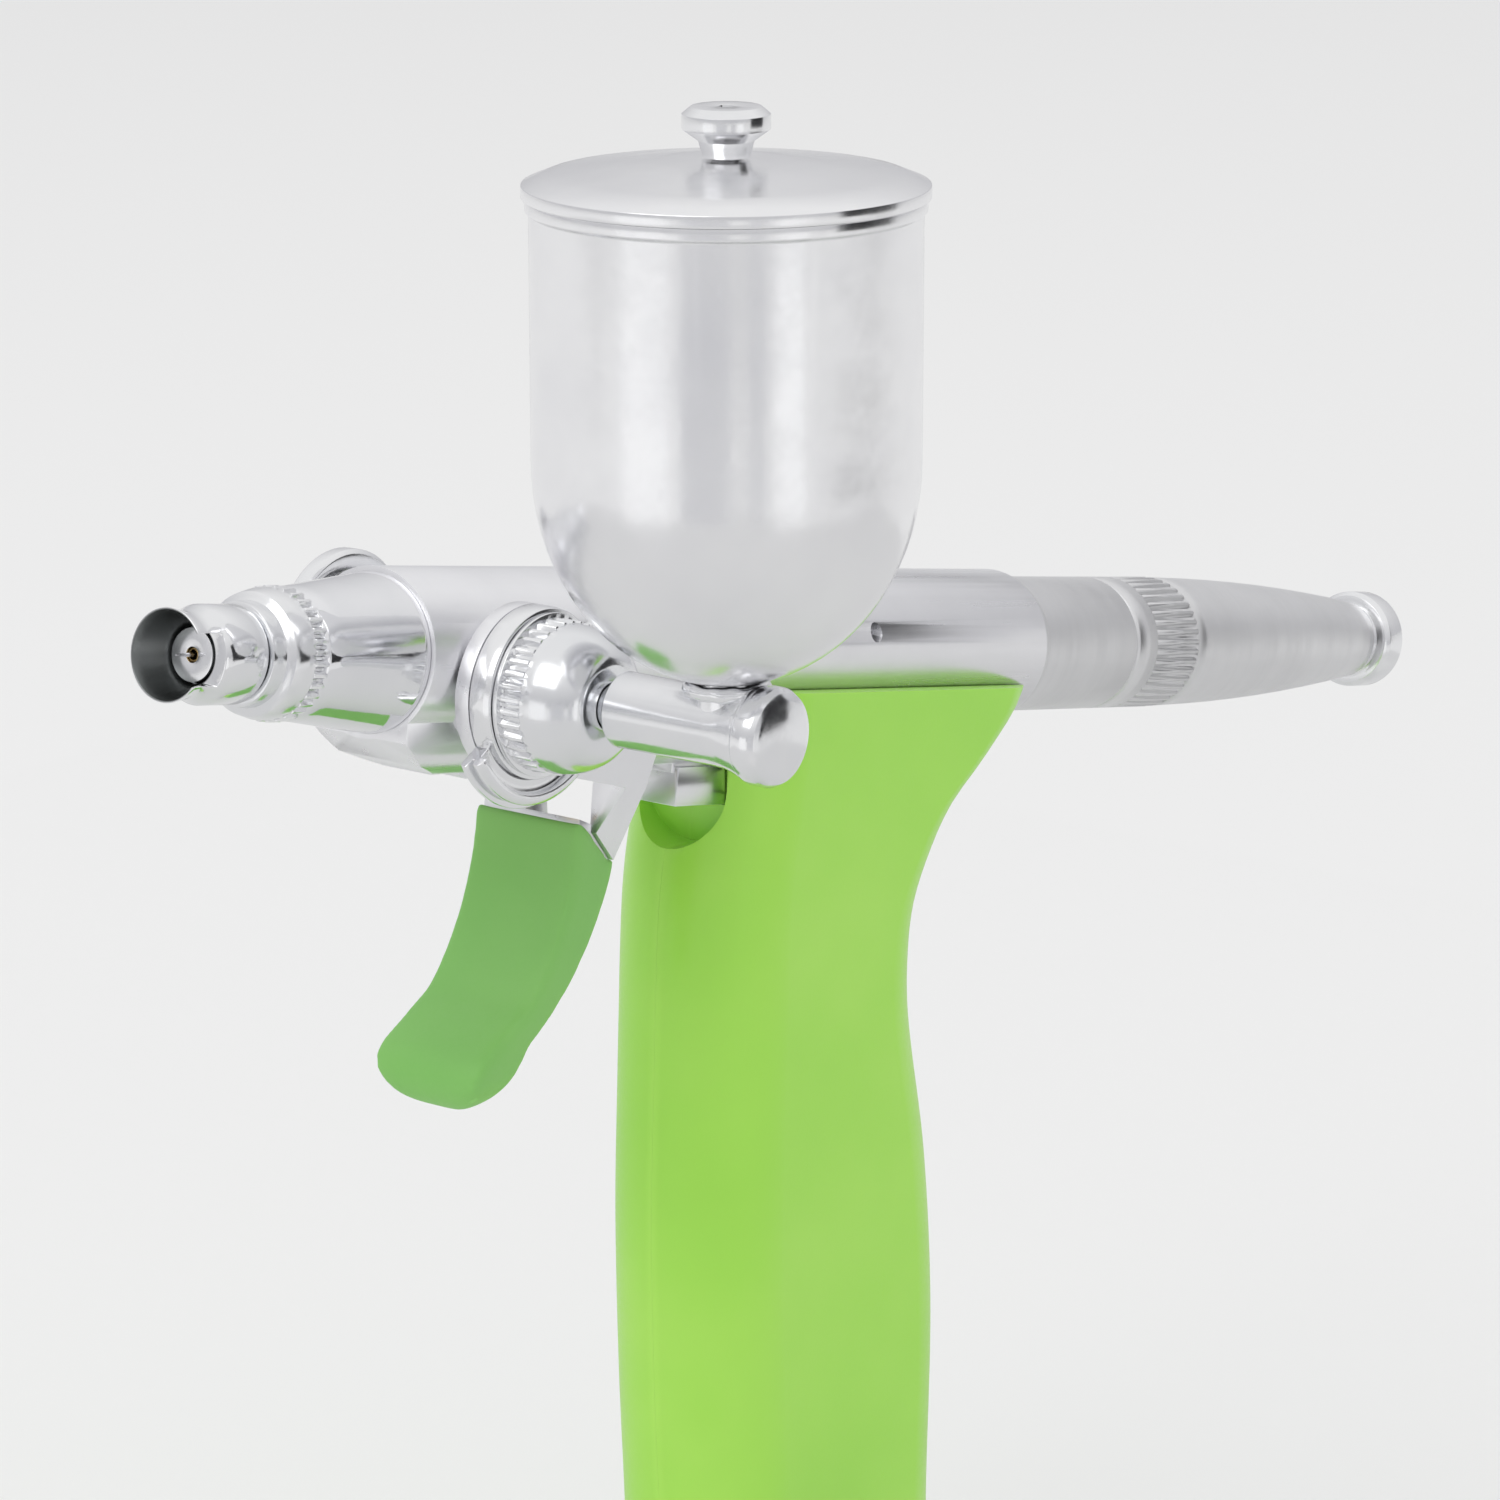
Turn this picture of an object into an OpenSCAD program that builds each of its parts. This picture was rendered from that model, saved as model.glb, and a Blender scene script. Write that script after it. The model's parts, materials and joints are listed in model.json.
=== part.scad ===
// Pistol-grip airbrush gun with a side-fed gravity cup.
// Origin: centre of the air inlet's lower end. +Z up along the grip, nozzle towards -X,
// cup on the -Y side. The barrel frame has its X along the needle, zero above the trigger pivot.

/* [Overall] */
// Height of the trigger pivot above the inlet's lower end
pivot_height = 104; // [103:0.5:106]
// Distance of the trigger pivot in front of the grip's centre line
pivot_reach = 39; // [38.5:0.25:39.5]
// Nose-up angle of the barrel
nose_up = 10.5; // [10:0.25:11]
// Drop of the trigger pivot below the needle's axis
pivot_drop = 1.7; // [1.6:0.05:1.8]

/* [Barrel] */
// Radius of the main body
body_r = 6.1; // [6:0.05:6.2]
// Front end of the main body
body_front = -8.4; // [-8.6:0.1:-8.2]
// Rear end of the main body
body_rear = 69.1; // [68.5:0.1:70]
// Half width of the rail under the body
keel_half = 4.2; // [4.1:0.05:4.3]
// Depth of the rail below the needle's axis
keel_depth = 8.5; // [8.4:0.05:8.6]
// Front rim of the needle cap
rim_x = -29.4; // [-29.6:0.1:-29.2]
// Rim radius of the needle cap
rim_r = 3.25; // [3.2:0.05:3.3]
// Rear end of the tail handle
tail_end = 126.6; // [126:0.2:128]
// Needle radius
needle_r = 0.6; // [0.58:0.01:0.62]

/* [Side feed] */
// Radius of the cup
cup_r = 13.3; // [13:0.1:13.5]
// Depth of the cup's rounded bottom
cup_bottom = 15.5; // [15.3:0.1:15.8]
// Height of the cup's straight wall
cup_wall = 18; // [16:0.5:22]
// Distance of the cup's axis from the barrel's mid-plane
cup_offset = 25.5; // [25.3:0.1:26]
// Radius of the stem tube
stem_r = 2.7; // [2.65:0.05:2.75]
// Radius of the round discs on both ends of the cross hub
disc_r = 8; // [7.9:0.05:8.1]

/* [Grip] */
// Half thickness of the grip
grip_half = 7.3; // [7.2:0.05:7.5]
// Height of the grip's lower end
grip_base = 13.6; // [13.5:0.1:14]
// Radius over the inlet's G1/8 thread
inlet_r = 4.86; // [4.8:0.01:4.9]

/* [Hidden] */
$fn = 64;

// Named parts of the barrel, in the barrel frame
cap_base_x = rim_x + 2.6;
cap_back_x = rim_x + 6.7;
knurl_front_x = rim_x + 10.1;
knurl_back_x = rim_x + 11.4;
spigot_x = body_front + 4;
cavity_r = 4.2;
cavity_x = 14;
slot_half = 2.9;
slot_top = -5.95;
slot_front = -2.4;
block_front = 24.6;
block_rear = 46;
block_bottom = -11.5;
rod_z = -7.6;
rod_r = 0.8;
block_top = -5;
push_arm = -rod_z - pivot_drop;
nose_r = 1.2;
nose_x = 0.6;
rod_front = nose_x + nose_r + 0.05;
tongue_y = [-2.6, -1.15];
carrier_r = 1.9;
leg_x = 15.5;
flange_x = 34;
case_x = 62;
collar_end = 84;
taper_x = 95;
needle_back = 96;

// Cross hub, in the pivot frame: distances are measured from the barrel's mid-plane
hub_r = 4.4;
hub_end = 8.6;
cheek_in = 6.35;
cheek_out = 7.55;
eye_r = 6.2;
bush_r = 4.95;
disc_in = 7.65;
disc_out = 9.35;
flange_r = 6.2;
skirt_turn = 28;
cover_r = 6.4;
cover_rise = 1.5;
cover_out = 10.4;
feed_r = 1.5;
port_r = 2.4;
nipple_r = 3.4;
nipple_end = 12;
nut_back = 9.45;
nut_r = 5.5;
neck_r = 1.65;
stem_start = 16.4;
stem_end = 30.4;
cap_r = 3.5;
bowl_low = 3.3;
bowl_z = bowl_low + cup_bottom;
bowl_top = bowl_z + cup_wall;
wall = 0.8;

// Trigger finger piece, in the pivot frame: the front and back faces are arcs
front_arc = [-11.4, -10.6, 20.6];
back_arc = [-7.3, -8.3, 22.5];
core_in = 22;
core_out = 23.8;
sleeve_half = 5;
sleeve_top = -12.2;
tip_centre = [-0.4, -29.7];
tip_r = 2.5;
tip_low = -28.4;

// Grip sections from top to bottom, in the pivot frame: height, front face, rear face
GRIP = [[-5, 28, 70.5], [-13.4, 27, 68], [-17.3, 26.2, 63.2], [-20.2, 25.5, 58.6], [-23.4, 25, 55.6],
        [-27.5, 24.7, 53.2], [-32.2, 24.5, 52.4], [-37, 24.3, 52.6], [-48.8, 23.9, 54.9],
        [-62, 24.2, 56], [-78, 25, 55.6], [grip_base - pivot_height, 24.6, 55.6]];
SCREWS = [[47, -27], [30.5, -50], [47.5, -78]];
seam_z = -2.5;
knurl_depth = 0.35;

chrome = "#d9dcdf";
satin = "#b9bcc0";
brass = "#c9a959";
lime = "#9fd65a";
leaf = "#78b25c";
white = "#f2f2ee";
black = "#222222";

// ---- helpers ----

module at_pivot() translate([-pivot_reach, 0, pivot_height]) children();
module on_barrel() at_pivot() rotate([0, nose_up, 0]) translate([0, 0, pivot_drop]) children();
module turned(points) rotate([0, 90, 0]) rotate_extrude($fn = 96) polygon(points);
module rod(x0, x1, r) translate([x0, 0, 0]) rotate([0, 90, 0]) cylinder(r = r, h = x1 - x0);
// Turned parts on the hub's axis: points are [radius, distance towards the cup]
module cross_turned(points) rotate([90, 0, 0]) rotate_extrude($fn = 96) polygon(points);
module cross_rod(t0, t1, r) rotate([90, 0, 0]) translate([0, 0, t0]) cylinder(r = r, h = t1 - t0);
// A side view outline pushed out from t0 to t1 towards the cup
module side_plate(t0, t1) rotate([90, 0, 0]) translate([0, 0, t0]) linear_extrude(t1 - t0) children();
// A front view outline, given in Y and Z, pushed out along X
module front_plate(x0, x1)
  translate([x0, 0, 0]) rotate([90, 0, 90]) linear_extrude(x1 - x0) children();
// Notched ring outline
module knurl(r, teeth)
  polygon([for (i = [0 : 4 * teeth - 1])
    let (a = 90 * i / teeth, deep = (i % 4 < 2) ? 0 : knurl_depth) (r - deep) * [cos(a), sin(a)]]);
module both_sides() {
  children();
  mirror([0, 1, 0]) children();
}
module tube(x0, x1, outer, inner)
  difference() {
    rod(x0, x1, outer);
    rod(x0 - 1, x1 + 1, inner);
  }
function ellipse(rx, rz, a0, a1, n) = [for (i = [0 : n])
  let (a = a0 + (a1 - a0) * i / n) [rx * cos(a), rz * sin(a)]];

// Coil spring along X, from x0 to x1
module coil(x0, x1, r, wire_r, turns) {
  sides = 6;
  steps = 14 * turns;
  ends = x1 - x0 - 2 * wire_r;
  points = [for (i = [0 : steps], j = [0 : sides - 1])
    let (a = 360 * turns * i / steps, b = 360 * j / sides, d = r + wire_r * cos(b))
      [x0 + wire_r + ends * i / steps + wire_r * sin(b), d * cos(a), d * sin(a)]];
  skin = [for (i = [0 : steps - 1], j = [0 : sides - 1])
    let (k = (j + 1) % sides)
      [i * sides + j, i * sides + k, (i + 1) * sides + k, (i + 1) * sides + j]];
  start = [for (j = [sides - 1 : -1 : 0]) j];
  end = [for (j = [0 : sides - 1]) steps * sides + j];
  polyhedron(points, concat(skin, [start, end]));
}

// ---- head ----

module needle_cap() color(chrome) on_barrel() difference() {
  turned([[rim_r - 0.15, rim_x], [rim_r, rim_x], [2.95, rim_x + 1.5], [3.15, rim_x + 2.4],
          [3.45, rim_x + 3.2], [3.45, cap_back_x - 0.3], [3.3, cap_back_x], [2.95, cap_back_x],
          [2.95, rim_x + 3.6], [2.0, rim_x + 3.3], [2.0, rim_x + 2.9]]);
  translate([rim_x - 0.1, -4, -1.8]) cube([2.6, 3.4, 3.6]);
}

module nozzle_cap() color(chrome) on_barrel() difference() {
  union() {
    turned([[0.55, cap_base_x], [1.85, cap_base_x], [1.85, rim_x + 3.7], [2.9, rim_x + 4.2],
            [2.9, cap_back_x + 0.1], [3.6, cap_back_x + 0.2], [3.7, rim_x + 8.1], [4.3, rim_x + 8.4],
            [4.55, rim_x + 9.4], [4.6, knurl_front_x], [0.55, knurl_front_x]]);
    translate([knurl_front_x, 0, 0]) rotate([0, 90, 0])
      linear_extrude(knurl_back_x - knurl_front_x) knurl(4.72, 36);
  }
  turned([[0, cap_base_x - 1], [0.55, cap_base_x - 1], [0.55, cap_base_x + 0.4], [2.2, rim_x + 7],
          [3.7, rim_x + 8.8], [3.7, knurl_back_x + 1], [0, knurl_back_x + 1]]);
}

module nozzle() color(brass) on_barrel()
  turned([[0.35, cap_base_x + 0.1], [0.45, cap_base_x + 0.1], [1.3, rim_x + 6.5], [1.3, rim_x + 8],
          [2.4, rim_x + 8], [2.4, rim_x + 9.9], [1.5, rim_x + 9.9], [1.5, rim_x + 13],
          [0.9, rim_x + 13], [0.9, rim_x + 7]]);

module nozzle_seal() color(white) on_barrel() tube(rim_x + 9.95, rim_x + 10.75, 2.5, 1.55);

module head_sleeve() color(chrome) on_barrel() difference() {
  turned([[3.65, rim_x + 10.8], [3.65, knurl_back_x], [4.45, knurl_back_x], [4.6, knurl_back_x + 0.3],
          [5.6, body_front - 1.2], [5.75, body_front - 0.05], [4.6, body_front - 0.05], [4.6, spigot_x],
          [0, spigot_x], [0, rim_x + 10.8]]);
  rod(rim_x + 10, rim_x + 13.5, 1.55);
  rod(rim_x + 13, spigot_x + 1, 1.3);
  translate([0, 2.9, 0]) rod(rim_x + 10, spigot_x + 1, 0.6);
}

// ---- body ----

module keel_outline() {
  translate([-keel_half, -keel_depth + 2.2]) square([2 * keel_half, keel_depth - 2.2]);
  translate([-keel_half + 2.2, -keel_depth]) square([2 * (keel_half - 2.2), 3]);
  for (side = [-1, 1]) translate([side * (keel_half - 2.2), -keel_depth + 2.2]) circle(2.2);
}

module keel() intersection() {
  front_plate(body_front - 2, body_rear - 3) keel_outline();
  side_plate(-keel_half - 1, keel_half + 1) union() {
    translate([body_front + 5.5, -keel_depth - 1]) square([54, keel_depth + 1]);
    polygon([[body_front, 0], [body_front, -5.9], [body_front + 2.4, -7.6],
             [body_front + 5.6, -keel_depth], [body_front + 5.6, 0]]);
    translate([body_front + 59.4, -4]) square([6, 4]);
    polygon([[50, 0], [50, -keel_depth], [54, -keel_depth], [62, -4], [62, 0]]);
  }
}

module body() color(chrome) difference() {
  union() {
    on_barrel() rod(body_front, body_rear, body_r);
    on_barrel() rod(body_rear - 1, body_rear + 7, 4.85);
    on_barrel() keel();
    at_pivot() cross_rod(-hub_end, hub_end, hub_r);
  }
  on_barrel() {
    rod(body_front - 3, spigot_x, 4.65);
    rod(spigot_x - 1, cavity_x - 5, 1.3);
    rod(6, 9.5, 1.95);
    rod(9, cavity_x + 1, 2.25);
    rod(cavity_x, body_rear + 8, cavity_r);
    translate([slot_front, -slot_half, -keel_depth - 1])
      cube([block_front - slot_front, 2 * slot_half, keel_depth + 1 + slot_top]);
    translate([block_front - 0.05, -slot_half, -keel_depth - 1])
      cube([block_rear - block_front + 0.1, 2 * slot_half, keel_depth + 1 + block_top]);
    side_plate(-slot_half, -1)
      polygon([[4, slot_top - 1], [4, slot_top], [8, -4.6], [12, -3.2], [16, -3.2], [16, slot_top - 1]]);
    translate([14.6, -slot_half, -keel_depth - 1]) cube([6, 2 * slot_half, keel_depth]);
    translate([45.2, -body_r - 1, 1.9]) rotate([-90, 0, 0]) cylinder(r = 0.75, h = 3.2);
    translate([0, 4.67, 2.18]) rod(body_front - 1, 30, 0.5);
  }
  at_pivot() {
    cross_rod(-hub_end - 1, hub_end + 1, feed_r);
    both_sides() cross_rod(5.6, hub_end + 1, port_r + 0.03);
  }
}

module needle_packing() color(white) on_barrel() tube(6.05, 8.9, 1.9, needle_r + 0.04);
module packing_screw() color(brass) on_barrel() tube(9, cavity_x - 0.5, 2.2, needle_r + 0.1);

module spring_case() color(brass) on_barrel() difference() {
  union() {
    rod(case_x, 72, cavity_r - 0.03);
    rod(72, 74, 3.4);
  }
  rod(case_x - 1, 75, carrier_r + 0.08);
}

// ---- cross hub ----

// Side view outline of the near cover: a round flange with a wide skirt below and behind it
module skirt_outline() {
  circle(flange_r, $fn = 96);
  difference() {
    circle(disc_r + 1, $fn = 96);
    rotate(skirt_turn) translate([-2 * disc_r, 0]) square([4 * disc_r, 2 * disc_r]);
  }
}

module near_disc() color(chrome) at_pivot() intersection() {
  cross_turned([[hub_r + 0.05, disc_in], [disc_r + 0.15, disc_in], [disc_r + 0.35, disc_in + 0.2],
    [disc_r + 0.35, disc_in + 0.6], [disc_r - 0.5, disc_in + 0.65], [disc_r - 0.5, disc_in + 0.85],
    [disc_r, disc_in + 0.95], [disc_r, disc_out - 0.25], [disc_r - 0.35, disc_out],
    [disc_r - 0.8, disc_out], [disc_r - 0.9, disc_out - 0.6], [flange_r, disc_out - 0.6],
    [flange_r - 0.1, disc_out], [port_r + 0.05, disc_out], [port_r + 0.05, hub_end + 0.05],
    [hub_r + 0.05, hub_end + 0.05]]);
  side_plate(disc_in - 1, disc_out + 1) skirt_outline();
}

// Blank cover of the far port: a dished plate, set higher than the hub
module far_disc() color(chrome) at_pivot() mirror([0, 1, 0]) difference() {
  translate([0, 0, cover_rise]) cross_turned([[0, hub_end + 0.05], [4.7, hub_end + 0.05],
    [4.8, disc_out - 0.1], [5, hub_end + 0.1], [cover_r - 0.3, hub_end + 0.1], [cover_r, hub_end + 0.4],
    [cover_r, cover_out - 0.4], [cover_r - 0.4, cover_out], [0, cover_out]]);
  translate([0, 0, cover_rise])
    cross_turned([[4.6, hub_end], [4.75, disc_out], [3.2, disc_out], [3.2, hub_end]]);
  cross_rod(hub_end, cover_out + 1, port_r + 0.05);
}

module port_nipple() color(chrome) at_pivot() difference() {
  union() {
    cross_rod(5.7, nipple_end, port_r);
    cross_rod(disc_out + 0.02, nipple_end, nipple_r);
  }
  cross_rod(5, nipple_end + 1, feed_r);
}

module port_plug() color(chrome) at_pivot() mirror([0, 1, 0]) difference() {
  union() {
    cross_rod(6.7, cover_out + 0.5, port_r);
    cross_turned([[0, cover_out + 0.02], [3.9, cover_out + 0.02], [3.9, cover_out + 1.4],
      [3.4, cover_out + 1.8], [0, cover_out + 1.8]]);
  }
  translate([-5, -cover_out - 3, -0.5]) cube([10, 2, 1]);
}
module plug_seal() color(white) at_pivot() mirror([0, 1, 0]) cross_rod(5.65, 6.65, port_r - 0.02);

// ---- tail ----

module tail_collar() color(satin) on_barrel()
  turned([[4.9, body_rear + 0.05], [5.75, body_rear + 0.05], [5.75, body_rear + 0.9],
          [5.5, body_rear + 1.3], [5.5, collar_end - 0.4], [5.3, collar_end], [4.9, collar_end]]);

module tail_handle() color(satin) on_barrel() difference() {
  union() {
    translate([collar_end + 3, 0, 0]) rotate([0, 90, 0]) linear_extrude(6.5) knurl(5.5, 40);
    turned(concat([[0, collar_end - 5], [4.85, collar_end - 5], [4.85, collar_end + 0.05],
                   [5.3, collar_end + 0.05], [5.5, collar_end + 0.4], [5.5, collar_end + 2.9],
                   [4.9, collar_end + 3.1], [4.9, collar_end + 9.4], [5.45, collar_end + 9.6]],
                  [for (i = [0 : 8]) let (u = i / 8)
                    [5.45 - 0.35 * u - 1.7 * u * u, taper_x + (tail_end - taper_x) * u]],
                  [[0, tail_end]]));
  }
  turned([[0, collar_end - 6], [4.4, collar_end - 6], [4.4, taper_x - 1], [3.2, 112], [1.6, 114],
          [1.6, tail_end + 1], [0, tail_end + 1]]);
}

module preset_screw() color(brass) on_barrel() rod(98.6, tail_end + 1.9, 1.5);

module preset_knob() color(chrome) on_barrel()
  turned([[1.52, tail_end + 0.1], [3.1, tail_end + 0.1], [3.1, tail_end + 1], [3.9, tail_end + 1.1],
          [4.25, tail_end + 1.5], [4.25, tail_end + 3.6], [3.8, tail_end + 4.2], [0, tail_end + 4.3],
          [0, tail_end + 1.95], [1.52, tail_end + 1.95]]);

// ---- needle set ----

module needle() color(satin) on_barrel() turned([[0, rim_x + 1], [0.06, rim_x + 1], [needle_r, rim_x + 9],
  [needle_r, needle_back - 0.3], [0.3, needle_back], [0, needle_back]]);

module needle_carrier() color(brass) on_barrel() difference() {
  union() {
    rod(leg_x, 86, carrier_r);
    rod(flange_x, flange_x + 2, 3.9);
    translate([leg_x, tongue_y[0], rod_z - 0.6]) cube([2, tongue_y[1] - tongue_y[0], 0.6 - rod_z]);
    translate([rod_front, tongue_y[0], rod_z - 0.6])
      cube([leg_x + 1 - rod_front, tongue_y[1] - tongue_y[0], 1.2]);
  }
  rod(leg_x - 1, 87, needle_r + 0.05);
}

module needle_chuck() color(chrome) on_barrel() tube(86.05, 93, 1.6, needle_r + 0.02);
module chuck_nut() color(satin) on_barrel() difference() {
  union() {
    translate([87, 0, 0]) rotate([0, 90, 0]) linear_extrude(4) knurl(3.2, 24);
    rod(86.1, 92.5, 2.7);
  }
  rod(85, 94, 1.65);
}
module needle_spring() color(satin) on_barrel() coil(flange_x + 2.05, case_x - 0.05, 3.2, 0.4, 9);

// ---- trigger ----

module eye_outline() difference() {
  circle(eye_r);
  circle(bush_r);
}

module arm() {
  side_plate(cheek_in, cheek_out)
    polygon([[1, -6.05], [5.6, -2.4], [15.4, -7.4], [13.8, -10.2], [11.5, -9.6]]);
  hull() {
    side_plate(cheek_in, cheek_out) polygon([[11.5, -9.6], [12, -5.75], [15.4, -7.4], [13.8, -10.2]]);
    side_plate(4.4, sleeve_half)
      polygon([[11.6, -9.8], [14.8, -9.9], [14.4, -14], [13.2, -15.9], [11.2, -13.4]]);
  }
}

// Cross piece between the arms, parallel to the sleeve's top
module bridge_outline() polygon([[9.9, -12.15], [14.3, -14.3], [13.2, -16.1], [12.2, -16.2], [9.9, -14.4]]);

module core_outline(grow, top, bottom) intersection() {
  difference() {
    translate([front_arc[0], front_arc[1]]) circle(core_out + grow, $fn = 96);
    translate([front_arc[0], front_arc[1]]) circle(core_in - grow, $fn = 96);
  }
  translate([-2, bottom]) square([20, top - bottom]);
}

module core(grow) side_plate(-3.4 - grow, 3.4 + grow) core_outline(grow, -13.4, -28 - grow);

// Pusher: rises from the cross piece into the slot and runs forward beside the valve rod to a round nose,
// which pushes the rod and the needle carrier
module pusher() {
  side_plate(-2.7, -1.15) polygon([[11, -8.3], [12.9, -8.6], [13.2, -13.9], [10.6, -13]]);
  side_plate(-2.7, -1.15) rotate(-nose_up)
    polygon([[nose_x, -push_arm + 0.7], [12, -5.1], [13.3, -5.7], [12.6, -6.7], [nose_x, -push_arm - 0.9]]);
  side_plate(-2.7, 2.7) rotate(-nose_up) translate([nose_x, -push_arm]) circle(nose_r);
}

module trigger_yoke() color(chrome) at_pivot() {
  both_sides() {
    side_plate(cheek_in, cheek_out) eye_outline();
    arm();
  }
  side_plate(-4.5, 4.5) bridge_outline();
  core(0);
  pusher();
}

module trigger_bushes() color(satin) at_pivot() both_sides() difference() {
  cross_rod(cheek_in - 0.05, cheek_out + 0.05, bush_r);
  cross_rod(cheek_in - 1, cheek_out + 1, hub_r + 0.05);
}

// Side view outline of the finger piece, with a full round tip
module finger_outline() {
  intersection() {
    difference() {
      translate([back_arc[0], back_arc[1]]) circle(back_arc[2], $fn = 96);
      translate([front_arc[0], front_arc[1]]) circle(front_arc[2], $fn = 96);
    }
    polygon([[3, sleeve_top], [9.9, sleeve_top], [15.6, -17.6], [20, -22], [4.5, -34],
             [-1.9, -29.6], [4, -20]]);
  }
  hull() {
    translate(tip_centre) circle(tip_r);
    polygon([[3.6, -24.8], [5.4, -24.8], [4.4, -25.4]]);
  }
}

module trigger_sleeve() color(leaf) at_pivot() difference() {
  intersection() {
    side_plate(-sleeve_half, sleeve_half) finger_outline();
    front_plate(-8, 20) union() {
      translate([-sleeve_half, tip_low]) square([2 * sleeve_half, sleeve_top - tip_low]);
      translate([0, tip_low]) scale([1, 0.81]) circle(sleeve_half, $fn = 96);
    }
  }
  core(0.03);
  side_plate(-4.53, 4.53) offset(delta = 0.03) bridge_outline();
  side_plate(-2.73, -1.12) translate([10, -14.5]) square([4, 3]);
  both_sides() side_plate(4.37, sleeve_half + 1) offset(delta = 0.03)
    polygon([[11.2, -9], [16, -9], [14.4, -14], [13.2, -15.9], [11.15, -13.4]]);
}

// ---- air valve ----

module valve_block() color(chrome) difference() {
  on_barrel() {
    translate([block_front, -slot_half + 0.03, -9])
      cube([block_rear - block_front, 2 * slot_half - 0.06, 9 + block_top - 0.05]);
    translate([block_front + 0.4, -3.3, block_bottom])
      cube([block_rear - block_front - 0.4, 6.6, -block_bottom - keel_depth - 0.05]);
  }
  on_barrel() translate([0, 0, rod_z]) {
    rod(31, block_rear + 1, 1.7);
    rod(block_front - 1, 31.5, rod_r + 0.06);
  }
  translate([0, 0, pivot_height - 21]) cylinder(r = 1.85, h = 8);
}
module valve_seat() color(black) on_barrel() translate([0, 0, rod_z]) difference() {
  rod(31.05, 31.9, 1.65);
  rod(30, 33, rod_r + 0.12);
}
module valve_stem() color(satin) on_barrel() translate([0, 0, rod_z]) rod(rod_front, 31.95, rod_r);
module valve_poppet() color(black) on_barrel() translate([0, 0, rod_z]) rod(32, 33.2, 1.5);
module valve_spring() color(satin) on_barrel() translate([0, 0, rod_z]) coil(33.3, 43.9, 1.15, 0.22, 7);
module valve_cap() color(brass) on_barrel() translate([0, 0, rod_z]) rod(44, block_rear, 1.66);

// ---- grip ----

// One level of the grip: a slot shape, as a ring of points
function grip_ring(row, z, side_r, n) = [for (i = [0 : n - 1])
  let (a = 360 * i / n, r = min(side_r, (row[2] - row[1]) / 2),
       cx = (cos(a) >= 0) ? row[2] - r : row[1] + r)
    [cx + r * cos(a), side_r * sin(a), z]];

module grip_form() {
  n = 28;
  levels = len(GRIP);
  points = [for (k = [0 : levels - 1]) each grip_ring(GRIP[k], GRIP[k][0], grip_half, n)];
  skin = [for (k = [0 : levels - 2], i = [0 : n - 1])
    let (j = (i + 1) % n) [k * n + i, k * n + j, (k + 1) * n + j, (k + 1) * n + i]];
  top = [for (i = [n - 1 : -1 : 0]) i];
  bottom = [for (i = [0 : n - 1]) (levels - 1) * n + i];
  polyhedron(points, concat(skin, [top, bottom]));
}

module grip_cavity() difference() {
  union() {
    translate([29, -4.8, -86]) cube([21, 9.6, 62]);
    translate([31, -3.4, -24.5]) cube([17.5, 6.8, 10]);
  }
  for (s = SCREWS) translate([s[0], 0, s[1]]) cross_rod(-6, 6, 2.9);
}

module grip_solid() difference() {
  at_pivot() grip_form();
  on_barrel() {
    translate([0, -20, seam_z]) cube([120, 40, 40]);
    rod(0, 120, body_r + 0.06);
    translate([0, -keel_half - 0.06, -keel_depth - 0.06])
      cube([body_rear - 4, 2 * keel_half + 0.12, keel_depth]);
    translate([block_front - 3, -3.4, block_bottom - 0.1]) cube([block_rear - block_front + 3.4, 6.8, 6]);
  }
  at_pivot() {
    grip_cavity();
    translate([20, 0, -14.6]) rod(0, 9, 4.1);
    translate([20, -4.1, -14.6]) cube([9, 8.2, 10]);
    for (s = SCREWS) translate([s[0], 0, s[1]]) {
      cross_rod(-grip_half - 1, -5.2, 2.3);
      cross_rod(-6, 3.5, 1.15);
    }
  }
  translate([0, 0, grip_base - 1]) cylinder(r = 4.1, h = 12);
}

module grip_left() color(lime) intersection() {
  grip_solid();
  translate([-30, -20, 0]) cube([70, 20, 110]);
}
module grip_right() color(lime) intersection() {
  grip_solid();
  translate([-30, 0, 0]) cube([70, 20, 110]);
}
module grip_screws() color(satin) at_pivot() for (s = SCREWS) translate([s[0], 0, s[1]]) difference() {
  union() {
    cross_rod(-6.6, -5.25, 2.2);
    cross_rod(-5.4, 3.3, 1.1);
  }
  translate([-0.3, 6.1, -1.6]) cube([0.6, 1, 3.2]);
  translate([-1.6, 6.1, -0.3]) cube([3.2, 1, 0.6]);
}

module base_plate() color(chrome) difference() {
  union() {
    translate([-7, 0, 12.05]) cylinder(r = grip_half, h = grip_base - 12.1);
    translate([9.3, 0, 12.05]) cylinder(r = grip_half, h = grip_base - 12.1);
    translate([-7, -grip_half, 12.05]) cube([16.3, 2 * grip_half, grip_base - 12.1]);
  }
  cylinder(r = 4.05, h = 40);
}
module air_tube() color(satin) difference() {
  translate([0, 0, 20]) cylinder(r = 1.8, h = pivot_height - 40.2);
  cylinder(r = 1.2, h = 120);
}
module air_inlet() color(chrome) difference() {
  union() {
    cylinder(r = inlet_r, h = 9);
    translate([0, 0, 9]) cylinder(r = 6.6, h = 3, $fn = 6);
    translate([0, 0, 11]) cylinder(r = 4, h = 12);
  }
  translate([0, 0, -1]) cylinder(r = 2.6, h = 17);
  translate([0, 0, 15]) cylinder(r = 1.85, h = 20);
}
module inlet_seal() color(black) translate([0, 0, 16.05]) difference() {
  cylinder(r = 1.8, h = 1.2);
  translate([0, 0, -1]) cylinder(r = 1.1, h = 4);
}

// ---- cup ----

module at_cup() at_pivot() translate([0, -cup_offset, 0]) children();

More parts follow.
